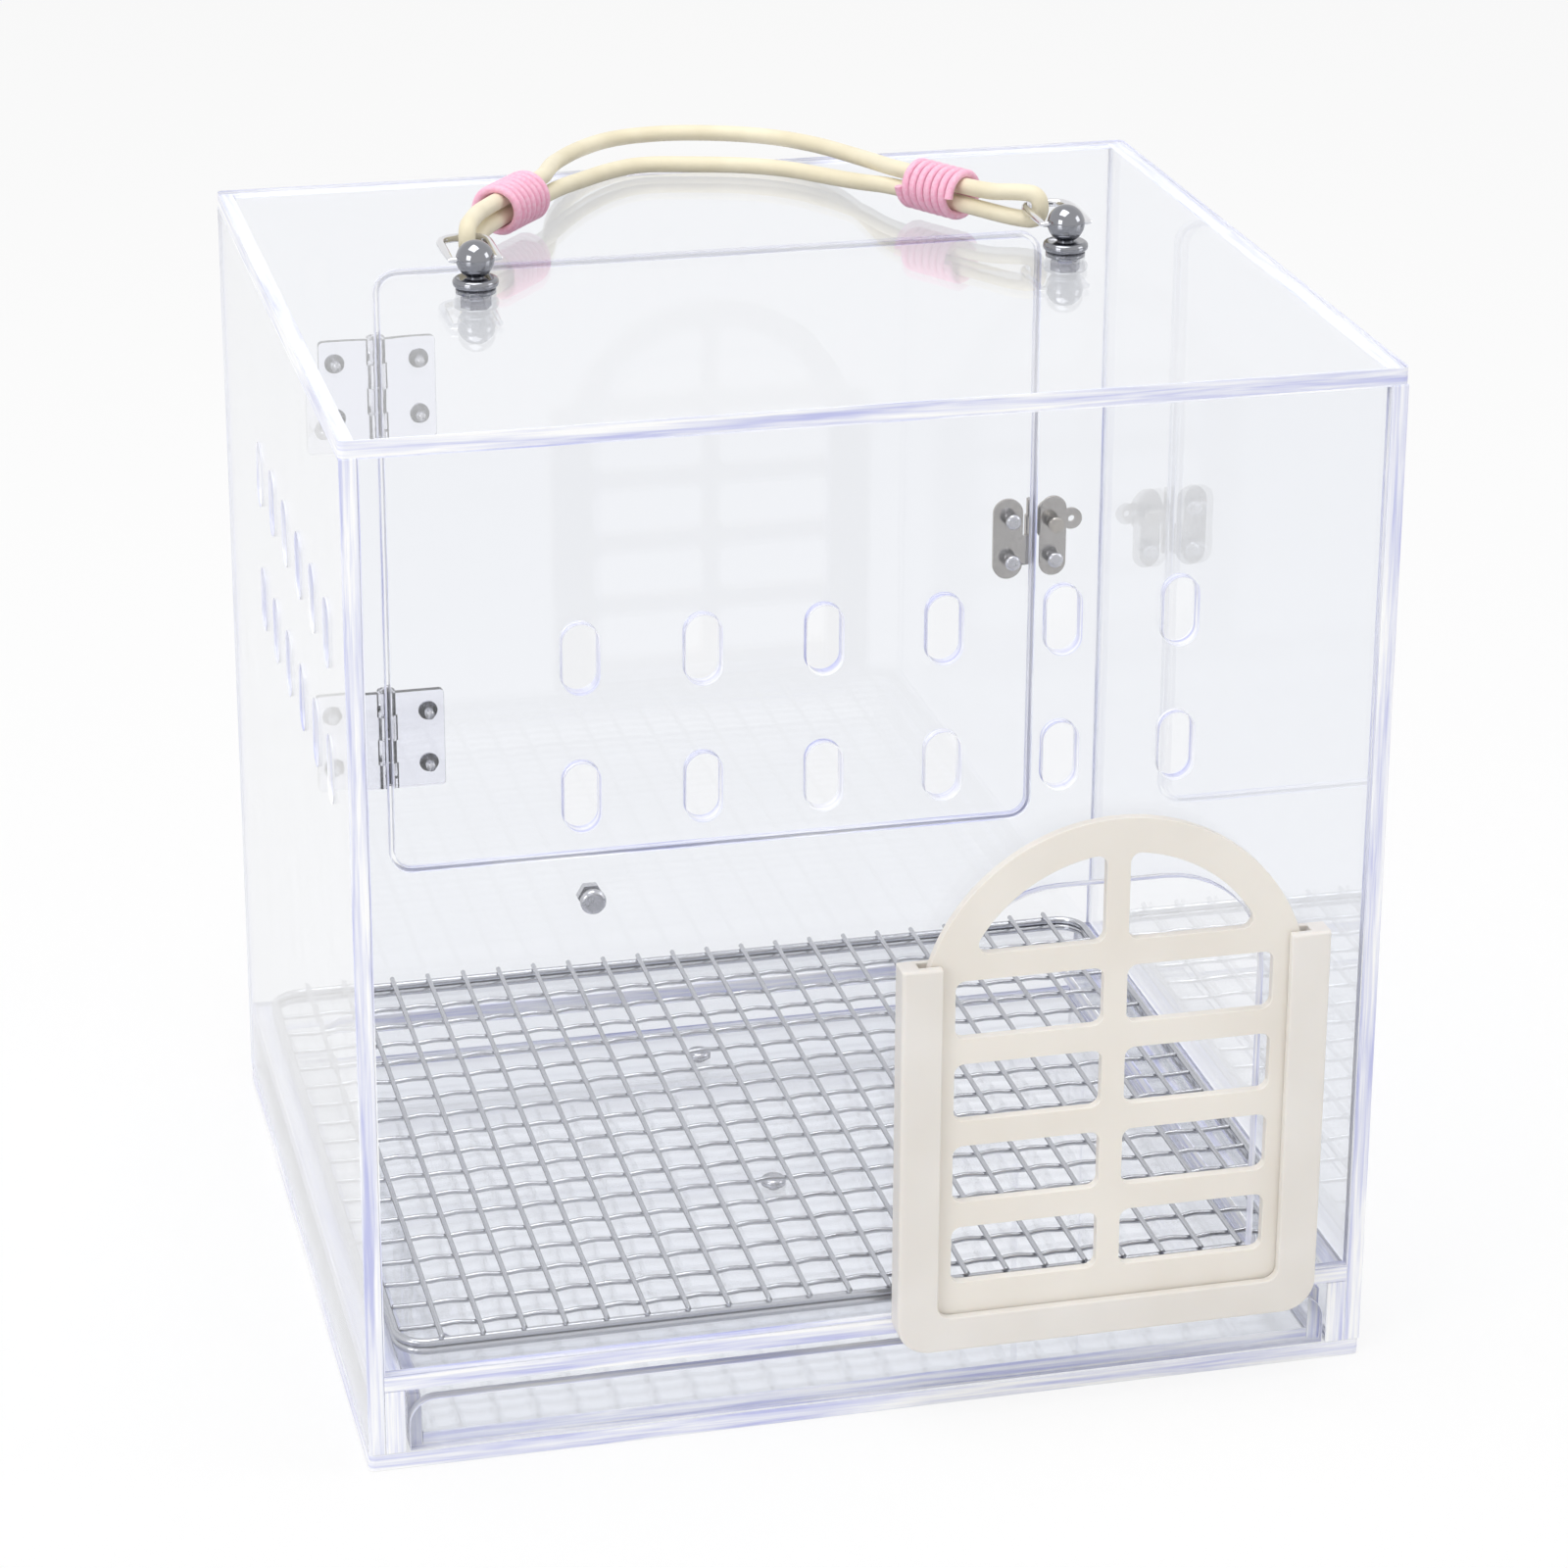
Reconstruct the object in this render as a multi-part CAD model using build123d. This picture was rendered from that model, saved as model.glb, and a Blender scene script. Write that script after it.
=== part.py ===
from build123d import *
import math
import os

# A clear acrylic travel carrier for a small bird.
# X runs to the right, the gate faces -Y and Z is up. The origin is the middle of the
# underside. All sizes are in millimetres, angles in degrees.

# --- the case ---------------------------------------------------------------------------
case_width = 300
case_depth = 264
case_height = 310
sheet = 5                 # thickness of the acrylic panels
corner_round = 2          # upright corners of the base and the top
edge_break = 0.6          # polished edges of the base and the top
# --- ventilation slots ------------------------------------------------------------------
vent_width = 10
vent_height = 20
vent_column_count = 6
vent_row_count = 2
vent_row_pitch = 40.5
vent_top_drop = 67        # from the top of the case to the middle of the upper row
front_vent_pitch = 34.2
side_vent_pitch = 28.4
side_vent_offset = -24    # the side slots sit towards the gate
# --- drawer bay and floor plate ---------------------------------------------------------
bay_height = 20           # clear height between the base and the floor plate
rail_width = 6            # rails that carry the floor plate and guide the drawer
floor_cut_margin = 20     # rim of the floor plate round its opening
floor_cut_round = 12
drawer_side_gap = 1
drawer_lift = 0.4         # the drawer rides this far above the base
drawer_top_gap = 3.5      # under the floor plate
drawer_wall = 4
drawer_back_gap = 8
drawer_front_round = 8
drawer_screw_head = 8
drawer_screw_shank = 4
drawer_screw_height = 2.4
drawer_screw_back_inset = 23    # from the drawer's back to the middle of a screw
drawer_screw_front_inset = 28
drawer_screw_side_inset = 32
drawer_screw_shift = -3         # the back screw sits a little left of the middle
# --- back door --------------------------------------------------------------------------
door_hinge_margin = 45    # from the left wall to the door
door_hasp_margin = 25     # from the right wall to the door
door_foot_margin = 44.2   # from the floor plate to the door
door_head_margin = 28.8   # from the top panel to the door
door_gap = 1.2
door_round = 6
# --- hinges -----------------------------------------------------------------------------
hinge_height = 34
hinge_leaf = 19           # from the pin to the end of a leaf
hinge_leaf_thick = 2.4
hinge_barrel = 6
hinge_pin = 3.2
hinge_knuckle_count = 4
hinge_knuckle_gap = 0.5
hinge_stand_off = 3.4     # from the door's face to the middle of the pin
hinge_top_inset = 38.7    # from the door's top edge to the middle of the upper hinge
hinge_low_inset = 45.3    # from the door's bottom edge to the middle of the lower one
hinge_corner = 1.5
hinge_screw_out = 13.7    # from the pin
hinge_screw_spread = 18.6
run_gap = 0.06            # radial gap of everything that turns on a pin
# --- screws -----------------------------------------------------------------------------
screw_head = 5.4
screw_head_height = 1.8
screw_shank = 3
screw_gap = 0.05
# --- hasp -------------------------------------------------------------------------------
hasp_drop = 1.2           # middle of the hasp, below the middle of the door
hasp_height = 28.4
hasp_plate_thick = 1.2
hasp_door_reach = 13.4    # from the pin to the outer end of the door plate
hasp_frame_near = 3
hasp_frame_reach = 12.4
hasp_barrel = 3.8
hasp_pin = 1.8
hasp_pin_rise = 6
hasp_pin_head = 2.6
hasp_bridge = 3           # from a plate's edge into the plate
hasp_layer_gap = 0.3      # between things that turn over each other
hasp_knuckle_low = -9.7   # ends of the knuckles, from the middle of the hasp
hasp_knuckle_mid = 1.0
hasp_knuckle_high = 7.3
hasp_screw_spread = 7.3
staple_rise = 5.2
staple_reach = 7.5        # from the pin
staple_shaft = 3
staple_knob = (4.6, 8.6, 2.4)
staple_slot = (6.8, 10.4)
hasp_tongue = (11, 15)
hasp_tab = 7.4
hasp_tab_hole = 2.4
hasp_tab_reach = 14.6
# --- gate -------------------------------------------------------------------------------
gate_side_margin = 18     # from the right side of the case to the gate's channel
gate_width = 128
gate_bottom_z = 21.5
gate_leg_top_z = 144
gate_proud = 8
gate_web = 5.5
gate_flange = 12
gate_back_flange = 1.6
gate_front_flange = 2.8
gate_corner = 10
gate_window_round = 4
gate_front_round = 1.2
grille_thick = 3
grille_gap = 0.4          # between the grille's edge and the channel
grille_band = 10.6
grille_middle_bar = 7
grille_cross_bar = 8
grille_cross_pitch = 26
grille_row_count = 4
grille_top_bar_z = 142.2
grille_apex_z = 184
grille_round = 3
doorway_width = 92
doorway_top_z = 162
doorway_sill = 6
doorway_round = 30
# --- wire mesh floor --------------------------------------------------------------------
mesh_side_gap = 5         # from the mesh's frame to the walls
mesh_front_gap = 6
mesh_back_gap = 3
mesh_rod = 2.5
mesh_wire = 1.6
mesh_corner = 9
mesh_long_count = 22
mesh_cross_count = 17
mesh_first_gap = 1.45     # from the back rod to the first cross wire, in wire pitches
mesh_last_gap = 0.65
mesh_lift = 0.1
# --- ball studs and shackles ------------------------------------------------------------
stud_spacing = 180
stud_ball = 11.4
stud_ball_rise = 10       # middle of the ball above the top panel
stud_flange = 12
stud_flange_height = 1.6
stud_neck = 5
stud_shank = 4
stud_washer = 13.7
stud_washer_height = 3
stud_nut = 8
stud_nut_height = 3.2
shackle_wire = 2.6
shackle_inside = 11.8     # between the arms
shackle_arm = 17          # from the pin to the start of the bow
shackle_eye = 4.8
shackle_pin = 1.9
shackle_pin_over = 0.8    # past the arm on each side
# --- rope handle ------------------------------------------------------------------------
rope = 5.2
rope_side_gap = 0.5       # between the two strands inside a whipping
rope_hook = 4.2           # from the shackle's wire to the middle of the rope round it
whip_cord = 2.6
whip_turns = 7
whip_gap = 0.5            # between turns
whip_clear = 0.2          # between the whipping and the strands
whip_left = ((-76, 50), (-60, 70.5))
whip_right = ((70, 36), (57, 58.5))
rope_straight = 7         # straight rope past each end of a whipping
# --- fixing in the back panel -----------------------------------------------------------
perch_screw_x = -32.8
perch_screw_z = 56.4
perch_screw_head = 9
perch_screw_head_height = 2.4
perch_screw_shank = 4
perch_nut = 8
perch_nut_height = 3.2

half_width = case_width / 2
half_depth = case_depth / 2
inner_x = half_width - sheet
front_face = -half_depth
back_face = half_depth
wall_top = case_height - sheet
floor_low = sheet + bay_height
floor_high = floor_low + sheet
door_left = door_hinge_margin - inner_x
door_right = inner_x - door_hasp_margin
door_low = floor_high + door_foot_margin
door_high = wall_top - door_head_margin
hinge_x = door_left - door_gap / 2
hinge_y = back_face + hinge_stand_off
hinge_heights = (door_high - hinge_top_inset, door_low + hinge_low_inset)
hasp_x = door_right + door_gap / 2
hasp_y = back_face + hasp_barrel / 2 + hasp_layer_gap
hasp_middle_z = (door_low + door_high) / 2 - hasp_drop
gate_middle_x = half_width - gate_side_margin - gate_width / 2
pivot_z = case_height + stud_ball_rise


def block(x0, x1, y0, y1, z0, z1):
    """A solid between two opposite corners."""
    middle = Pos((x0 + x1) / 2, (y0 + y1) / 2, (z0 + z1) / 2)
    return middle * Box(x1 - x0, y1 - y0, z1 - z0)


def rod_z(diameter, x, y, z0, z1):
    """An upright rod."""
    return Pos(x, y, (z0 + z1) / 2) * Cylinder(diameter / 2, z1 - z0)


def rod_y(diameter, x, z, y0, y1):
    """A rod from front to back."""
    return Pos(x, (y0 + y1) / 2, z) * Rot(90, 0, 0) * Cylinder(diameter / 2, y1 - y0)


def rod_x(diameter, y, z, x0, x1):
    """A rod from left to right."""
    return Pos((x0 + x1) / 2, y, z) * Rot(0, 90, 0) * Cylinder(diameter / 2, x1 - x0)


def holes(solid, cutters):
    """Takes each cutter out of the solid."""
    for cutter in cutters:
        solid = solid - cutter
    return solid


def stadium_y(width, height, x, z, y0, y1):
    """An upright slot shape that runs from front to back."""
    flat = SlotOverall(height, width, rotation=90) if height > width else Circle(width / 2)
    return extrude(Plane((x, y0, z), x_dir=(1, 0, 0), z_dir=(0, 1, 0)) * flat, y1 - y0)


def outer_screw(x, z, length, head=screw_head, head_height=screw_head_height,
                shank=screw_shank, seat=back_face, side=1):
    """A round-headed screw along Y, its head on the seat and its shank inwards.

    side is 1 for a head that faces the back and -1 for one that faces the front.
    """
    ends = sorted((seat, seat + side * head_height))
    top = rod_y(head, x, z, *ends)
    rim = top.edges().filter_by(GeomType.CIRCLE).sort_by(Axis.Y)[-1 if side > 0 else 0]
    top = fillet(rim, head_height * 0.6)
    return top + rod_y(shank, x, z, *sorted((seat, seat - side * length)))


# --- case panels ------------------------------------------------------------------------
def outer_panel(z0, z1):
    """The base or the top: a sheet with softened corners that covers the walls."""
    panel = block(-half_width, half_width, -half_depth, half_depth, z0, z1)
    panel = fillet(panel.edges().filter_by(Axis.Z), corner_round)
    outside = panel.faces().sort_by(Axis.Z)[0 if z0 == 0 else -1]
    return chamfer(outside.edges(), edge_break)


def vent_heights():
    """Heights of the rows of ventilation slots."""
    return [case_height - vent_top_drop - row * vent_row_pitch for row in range(vent_row_count)]


def spread(count, pitch, middle=0):
    """Places of a row of equal steps about its middle."""
    return [middle + (i - (count - 1) / 2) * pitch for i in range(count)]


def base_panel():
    return outer_panel(0, sheet)


def top_panel():
    panel = outer_panel(wall_top, case_height)
    bore = stud_shank + 2 * screw_gap
    return holes(panel, [rod_z(bore, x, 0, wall_top - 1, case_height + 1)
                         for x in spread(2, stud_spacing)])


def side_panel(side):
    """A side wall; the left one has the ventilation slots."""
    ends = sorted((side * half_width, side * inner_x))
    wall = block(*ends, -half_depth, half_depth, sheet, wall_top)
    if side > 0:
        return wall
    cutter = stadium_y(vent_width, vent_height, 0, 0, -sheet, sheet)
    turned = Rot(0, 0, 90) * cutter
    middle_x = -half_width + sheet / 2
    places = [(y, z) for y in spread(vent_column_count, side_vent_pitch, side_vent_offset)
              for z in vent_heights()]
    return holes(wall, [Pos(middle_x, y, z) * turned for y, z in places])


def front_panel():
    """The front wall with its slots and the doorway behind the gate."""
    wall = block(-inner_x, inner_x, front_face, front_face + sheet, floor_high, wall_top)
    through = (front_face - 1, front_face + sheet + 1)
    places = [(x, z) for x in spread(vent_column_count, front_vent_pitch) for z in vent_heights()]
    wall = holes(wall, [stadium_y(vent_width, vent_height, x, z, *through) for x, z in places])
    half = doorway_width / 2
    doorway = block(gate_middle_x - half, gate_middle_x + half, *through,
                    floor_high + doorway_sill, doorway_top_z)
    corners = doorway.edges().filter_by(Axis.Y).sort_by(Axis.Z)
    doorway = fillet(corners[-2:], doorway_round)
    return wall - doorway


def back_panel():
    """The back wall round the door, drilled for the hinges, the hasp and the perch screw."""
    wall = block(-inner_x, inner_x, back_face - sheet, back_face, sheet, wall_top)
    through = (back_face - sheet - 1, back_face + 1)
    opening = block(door_left - door_gap, door_right + door_gap, *through,
                    door_low - door_gap, door_high + door_gap)
    opening = fillet(opening.edges().filter_by(Axis.Y), door_round + door_gap)
    bore = screw_shank + 2 * screw_gap
    cutters = [opening]
    for z in hinge_heights:
        for rise in spread(2, hinge_screw_spread):
            cutters.append(rod_y(bore, hinge_x - hinge_screw_out, z + rise, *through))
    cutters.append(rod_y(bore, hasp_x + staple_reach,
                         hasp_middle_z - hasp_screw_spread, *through))
    cutters.append(rod_y(staple_shaft + 2 * run_gap, hasp_x + staple_reach,
                         hasp_middle_z + staple_rise, *through))
    cutters.append(rod_y(perch_screw_shank + 2 * screw_gap, perch_screw_x, perch_screw_z,
                         *through))
    return holes(wall, cutters)


def floor_plate():
    """The plate that carries the mesh, open in the middle over the drawer."""
    plate = block(-inner_x, inner_x, front_face, back_face - sheet, floor_low, floor_high)
    middle_y = -sheet / 2
    half_x = inner_x - floor_cut_margin
    half_y = half_depth - floor_cut_margin
    opening = block(-half_x, half_x, middle_y - half_y, middle_y + half_y,
                    floor_low - 1, floor_high + 1)
    return plate - fillet(opening.edges().filter_by(Axis.Z), floor_cut_round)


def floor_rail(side):
    ends = sorted((side * inner_x, side * (inner_x - rail_width)))
    return block(*ends, front_face, back_face - sheet, sheet, floor_low)


# --- drawer -----------------------------------------------------------------------------
drawer_half = inner_x - rail_width - drawer_side_gap
drawer_low = sheet + drawer_lift
drawer_high = floor_low - drawer_top_gap
drawer_back = back_face - sheet - drawer_back_gap


def drawer_screw_places():
    """One screw in the middle, one near the back and one near the front right corner."""
    back = (drawer_screw_shift, drawer_back - drawer_screw_back_inset)
    front = (drawer_half - drawer_screw_side_inset, front_face + drawer_screw_front_inset)
    return [(0, 0), back, front]


def drawer_floor():
    floor = block(-drawer_half + drawer_wall, drawer_half - drawer_wall,
                  front_face + drawer_wall, drawer_back - drawer_wall,
                  drawer_low, drawer_low + drawer_wall)
    bore = drawer_screw_shank + 2 * screw_gap
    return holes(floor, [rod_z(bore, x, y, drawer_low - 1, drawer_low + drawer_wall + 1)
                         for x, y in drawer_screw_places()])


def drawer_front():
    """The drawer's front, its upper corners rounded."""
    front = block(-drawer_half, drawer_half, front_face, front_face + drawer_wall,
                  drawer_low, drawer_high)
    return fillet(front.edges().filter_by(Axis.Y).sort_by(Axis.Z)[-2:], drawer_front_round)


def drawer_back_wall():
    return block(-drawer_half, drawer_half, drawer_back - drawer_wall, drawer_back,
                 drawer_low, drawer_high)


def drawer_side(side):
    ends = sorted((side * drawer_half, side * (drawer_half - drawer_wall)))
    return block(*ends, front_face + drawer_wall, drawer_back - drawer_wall,
                 drawer_low, drawer_high)


def drawer_screws():
    """Round-headed screws in the drawer's floor."""
    seat = drawer_low + drawer_wall
    screws = []
    for x, y in drawer_screw_places():
        head = rod_z(drawer_screw_head, x, y, seat, seat + drawer_screw_height)
        rim = head.edges().filter_by(GeomType.CIRCLE).sort_by(Axis.Z)[-1]
        head = fillet(rim, drawer_screw_height * 0.6)
        screws.append(head + rod_z(drawer_screw_shank, x, y, drawer_low, seat))
    return Compound(screws)


# --- back door and hinges ---------------------------------------------------------------
def back_door():
    """The door leaf, flush in the back wall."""
    leaf = block(door_left, door_right, back_face - sheet, back_face, door_low, door_high)
    leaf = fillet(leaf.edges().filter_by(Axis.Y), door_round)
    bore = screw_shank + 2 * screw_gap
    through = (back_face - sheet - 1, back_face + 1)
    cutters = []
    for z in hinge_heights:
        for rise in spread(2, hinge_screw_spread):
            cutters.append(rod_y(bore, hinge_x + hinge_screw_out, z + rise, *through))
    for rise in (hasp_screw_spread, -hasp_screw_spread):
        cutters.append(rod_y(bore, hasp_x - staple_reach, hasp_middle_z + rise, *through))
    return holes(leaf, cutters)


def hinge_leaf_part(z, side):
    """One clear leaf with every other knuckle; side is -1 for the frame, 1 for the door."""
    low = z - hinge_height / 2
    step = hinge_height / hinge_knuckle_count
    ends = sorted((hinge_x, hinge_x + side * hinge_leaf))
    leaf = block(*ends, back_face, back_face + hinge_leaf_thick, low, low + hinge_height)
    corners = leaf.edges().filter_by(Axis.Y).sort_by(Axis.X)
    leaf = fillet(corners[-2:] if side > 0 else corners[:2], hinge_corner)
    first = 0 if side < 0 else 1
    trim = hinge_knuckle_gap / 2
    for i in range(hinge_knuckle_count):
        z0 = low + i * step
        mine = i % 2 == first
        if mine:
            bottom = z0 + (trim if i > 0 else 0)
            top = z0 + step - (trim if i < hinge_knuckle_count - 1 else 0)
            leaf = leaf + rod_z(hinge_barrel, hinge_x, hinge_y, bottom, top)
    for i in range(hinge_knuckle_count):
        z0 = low + i * step
        if i % 2 != first:
            bottom = z0 - (trim if i > 0 else 1)
            top = z0 + step + (trim if i < hinge_knuckle_count - 1 else 1)
            leaf = leaf - rod_z(hinge_barrel + 2 * hinge_knuckle_gap, hinge_x, hinge_y,
                                bottom, top)
    leaf = leaf - rod_z(hinge_pin + 2 * run_gap, hinge_x, hinge_y, low - 1,
                        low + hinge_height + 1)
    bore = screw_shank + 2 * screw_gap
    screw_x = hinge_x + side * hinge_screw_out
    return holes(leaf, [rod_y(bore, screw_x, z + rise, back_face - 1, back_face + sheet)
                        for rise in spread(2, hinge_screw_spread)])


def hinge_pin_part(z):
    pin = rod_z(hinge_pin, hinge_x, hinge_y, z - hinge_height / 2, z + hinge_height / 2)
    return chamfer(pin.edges().filter_by(GeomType.CIRCLE), 0.4)


def hinge_screws(side):
    seat = back_face + hinge_leaf_thick
    screws = [outer_screw(hinge_x + side * hinge_screw_out, z + rise, hinge_leaf_thick + sheet,
                          head=screw_head + 1, seat=seat)
              for z in hinge_heights for rise in spread(2, hinge_screw_spread)]
    return Compound(screws)


# --- hasp -------------------------------------------------------------------------------
def hasp_plate(x0, x1):
    """A plate with round ends, flat on the outside of the case."""
    width = x1 - x0
    return stadium_y(width, hasp_height, (x0 + x1) / 2, hasp_middle_z, back_face,
                     back_face + hasp_plate_thick)


def hasp_door_plate():
    """The plate on the door, with the lower knuckle."""
    plate = hasp_plate(hasp_x - hasp_door_reach, hasp_x - hasp_frame_near)
    low = hasp_middle_z + hasp_knuckle_low
    high = hasp_middle_z + hasp_knuckle_mid - hinge_knuckle_gap / 2
    bridge = block(hasp_x - hasp_frame_near - hasp_bridge, hasp_x, back_face,
                   back_face + hasp_plate_thick, low, high)
    clear = block(hasp_x - hasp_barrel / 2, hasp_x + 1, back_face - 1,
                  hasp_y - hasp_barrel / 2, low - 1, high + 1)
    plate = plate + bridge - clear
    plate = plate + rod_z(hasp_barrel, hasp_x, hasp_y, low, high)
    plate = plate - rod_z(hasp_pin + 2 * run_gap, hasp_x, hasp_y, low - 1, high + 1)
    bore = screw_shank + 2 * screw_gap
    return holes(plate, [rod_y(bore, hasp_x - staple_reach, hasp_middle_z + rise,
                               back_face - 1, back_face + sheet)
                         for rise in (hasp_screw_spread, -hasp_screw_spread)])


def hasp_frame_plate():
    """The plate on the back wall that the staple turns in."""
    plate = hasp_plate(hasp_x + hasp_frame_near, hasp_x + hasp_frame_reach)
    x = hasp_x + staple_reach
    screw_bore = rod_y(screw_shank + 2 * screw_gap, x, hasp_middle_z - hasp_screw_spread,
                       back_face - 1, back_face + sheet)
    shaft_bore = rod_y(staple_shaft + 2 * run_gap, x, hasp_middle_z + staple_rise,
                       back_face - 1, back_face + sheet)
    return plate - screw_bore - shaft_bore


def hasp_flap():
    """The tongue with the upper knuckle, a slot for the staple and a round finger tab."""
    low = hasp_middle_z + hasp_knuckle_mid + hinge_knuckle_gap / 2
    high = hasp_middle_z + hasp_knuckle_high
    middle = hasp_middle_z + staple_rise
    near = back_face + hasp_plate_thick + hasp_layer_gap
    far = near + hasp_plate_thick
    slot_x = hasp_x + staple_reach
    web = block(hasp_x, slot_x, near, far, low, high)
    body = stadium_y(*hasp_tongue, slot_x, middle, near, far)
    tab = stadium_y(hasp_tab, hasp_tab, hasp_x + hasp_tab_reach, middle, near, far)
    flap = web + body + tab + rod_z(hasp_barrel, hasp_x, hasp_y, low, high)
    flap = flap - rod_z(hasp_pin + 2 * run_gap, hasp_x, hasp_y, low - 1, high + 1)
    flap = flap - stadium_y(*staple_slot, slot_x, middle, near - 1, far + 1)
    below = rod_z(hasp_barrel + 2 * hinge_knuckle_gap, hasp_x, hasp_y,
                  low - hasp_tongue[1], low)
    return flap - below - rod_y(hasp_tab_hole, hasp_x + hasp_tab_reach, middle, near - 1, far + 1)


def hasp_pin_part():
    low = hasp_middle_z + hasp_knuckle_low
    high = hasp_middle_z + hasp_knuckle_high
    pin = rod_z(hasp_pin, hasp_x, hasp_y, low, high + hasp_pin_rise)
    head = rod_z(hasp_pin_head, hasp_x, hasp_y, high + hasp_layer_gap, high + hasp_pin_rise)
    return pin + head


def hasp_screws(side):
    """Screws with their heads inside the case; side is -1 for the door, 1 for the frame."""
    rises = (-hasp_screw_spread,) if side > 0 else (hasp_screw_spread, -hasp_screw_spread)
    length = sheet + hasp_plate_thick
    return Compound([outer_screw(hasp_x + side * staple_reach, hasp_middle_z + rise, length,
                                 seat=back_face - sheet, side=-1) for rise in rises])


def turn_staple():
    """The turning knob on its shaft, riveted over inside the case."""
    x = hasp_x + staple_reach
    z = hasp_middle_z + staple_rise
    flap_top = back_face + 2 * hasp_plate_thick + hasp_layer_gap
    width, height, thick = staple_knob
    knob_low = flap_top + hasp_layer_gap
    knob = stadium_y(width, height, x, z, knob_low, knob_low + thick)
    inside = back_face - sheet
    shaft = rod_y(staple_shaft, x, z, inside, knob_low)
    rivet = rod_y(screw_head, x, z, inside - screw_head_height, inside - run_gap)
    return knob + shaft + rivet + rod_y(staple_shaft, x, z, inside - 1, inside)


# --- gate -------------------------------------------------------------------------------
def gate_channel():
    """The U-shaped guide on the front, grooved for the grille."""
    half = gate_width / 2
    outer = block(gate_middle_x - half, gate_middle_x + half, front_face - gate_proud, front_face,
                  gate_bottom_z, gate_leg_top_z)
    outer = fillet(outer.edges().filter_by(Axis.Y).sort_by(Axis.Z)[:2], gate_corner)
    front = outer.faces().sort_by(Axis.Y)[0]
    outer = fillet(front.edges(), gate_front_round)
    inside = half - gate_flange
    window = block(gate_middle_x - inside, gate_middle_x + inside, front_face - gate_proud - 1,
                   front_face + 1, gate_bottom_z + gate_flange - 1, gate_leg_top_z + 1)
    window = fillet(window.edges().filter_by(Axis.Y).sort_by(Axis.Z)[:2], gate_window_round)
    deep = half - gate_web
    groove = block(gate_middle_x - deep, gate_middle_x + deep,
                   front_face - gate_proud + gate_front_flange,
                   front_face - gate_back_flange, gate_bottom_z + gate_web,
                   gate_leg_top_z + 1)
    groove = fillet(groove.edges().filter_by(Axis.Y).sort_by(Axis.Z)[:2],
                    gate_corner - gate_web)
    return outer - window - groove


def grille_hole(x0, x1, z0, z1, arch):
    """One opening of the grille; an arch trims the ones under the round top."""
    hole = Pos((x0 + x1) / 2, (z0 + z1) / 2) * Rectangle(x1 - x0, z1 - z0)
    if arch:
        hole = hole & arch
    return fillet(hole.vertices(), grille_round)


def gate_grille():
    """The sliding gate: a round-topped frame with one upright and level cross bars."""
    radius = gate_width / 2 - gate_web - grille_gap
    bottom = gate_bottom_z + gate_web + grille_gap
    spring = grille_apex_z - radius
    outline = Pos(0, (bottom + spring) / 2) * Rectangle(2 * radius, spring - bottom)
    outline = fillet(outline.vertices().sort_by(Axis.Y)[:2], gate_corner - gate_web)
    outline = outline + Pos(0, spring) * Circle(radius)
    inside = radius - grille_band
    arch = Pos(0, spring) * Circle(inside)
    bar_x = grille_middle_bar / 2
    bars = [grille_top_bar_z - i * grille_cross_pitch for i in range(grille_row_count)]
    spans = []
    for i, bar_z in enumerate(bars):
        top = bar_z - grille_cross_bar / 2
        below = grille_top_bar_z - (i + 1) * grille_cross_pitch + grille_cross_bar / 2
        spans.append((below, top))
    for side in (-1, 1):
        ends = sorted((side * bar_x, side * inside))
        for low, high in spans:
            outline = outline - grille_hole(*ends, low, high, None)
        low = grille_top_bar_z + grille_cross_bar / 2
        outline = outline - grille_hole(*ends, low, grille_apex_z, arch)
    groove = gate_proud - gate_front_flange - gate_back_flange
    front = front_face - gate_proud + gate_front_flange + (groove - grille_thick) / 2
    plane = Plane((gate_middle_x, front, 0), x_dir=(1, 0, 0), z_dir=(0, -1, 0))
    return extrude(plane * outline, -grille_thick)


# --- mesh floor -------------------------------------------------------------------------
mesh_back = back_face - sheet - mesh_back_gap
mesh_front = front_face + sheet + mesh_front_gap
mesh_low = floor_high + mesh_lift
mesh_rod_x = inner_x - mesh_side_gap - mesh_rod / 2


def mesh_ring(z):
    """A round rod bent into a rectangle with round corners."""
    wide = 2 * mesh_rod_x
    deep = mesh_back - mesh_front - mesh_rod
    centre = (mesh_front + mesh_back) / 2
    route = Pos(0, centre, z) * RectangleRounded(wide, deep, mesh_corner).wire()
    section = Plane(origin=route @ 0, z_dir=route % 0) * Circle(mesh_rod / 2)
    return sweep(section, path=route)


def mesh_frame():
    """Two rods, one on the other."""
    low = mesh_low + mesh_rod / 2
    return Compound([mesh_ring(low), mesh_ring(low + mesh_rod)])


def mesh_along():
    """Wires from front to back, over the frame."""
    z = mesh_low + 2 * mesh_rod + mesh_wire / 2
    pitch = 2 * mesh_rod_x / (mesh_long_count + 1)
    return Compound([rod_y(mesh_wire, x, z, mesh_front, mesh_back)
                     for x in spread(mesh_long_count, pitch)])


def mesh_across():
    """Wires from side to side, under the others and between the frame's rods."""
    z = mesh_low + 2 * mesh_rod - mesh_wire / 2
    reach = mesh_rod_x - mesh_rod / 2 - mesh_lift
    span = mesh_back - mesh_front - mesh_rod
    pitch = span / (mesh_first_gap + mesh_cross_count - 1 + mesh_last_gap)
    first = mesh_back - mesh_rod / 2 - mesh_first_gap * pitch
    return Compound([rod_x(mesh_wire, first - i * pitch, z, -reach, reach)
                     for i in range(mesh_cross_count)])


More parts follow.
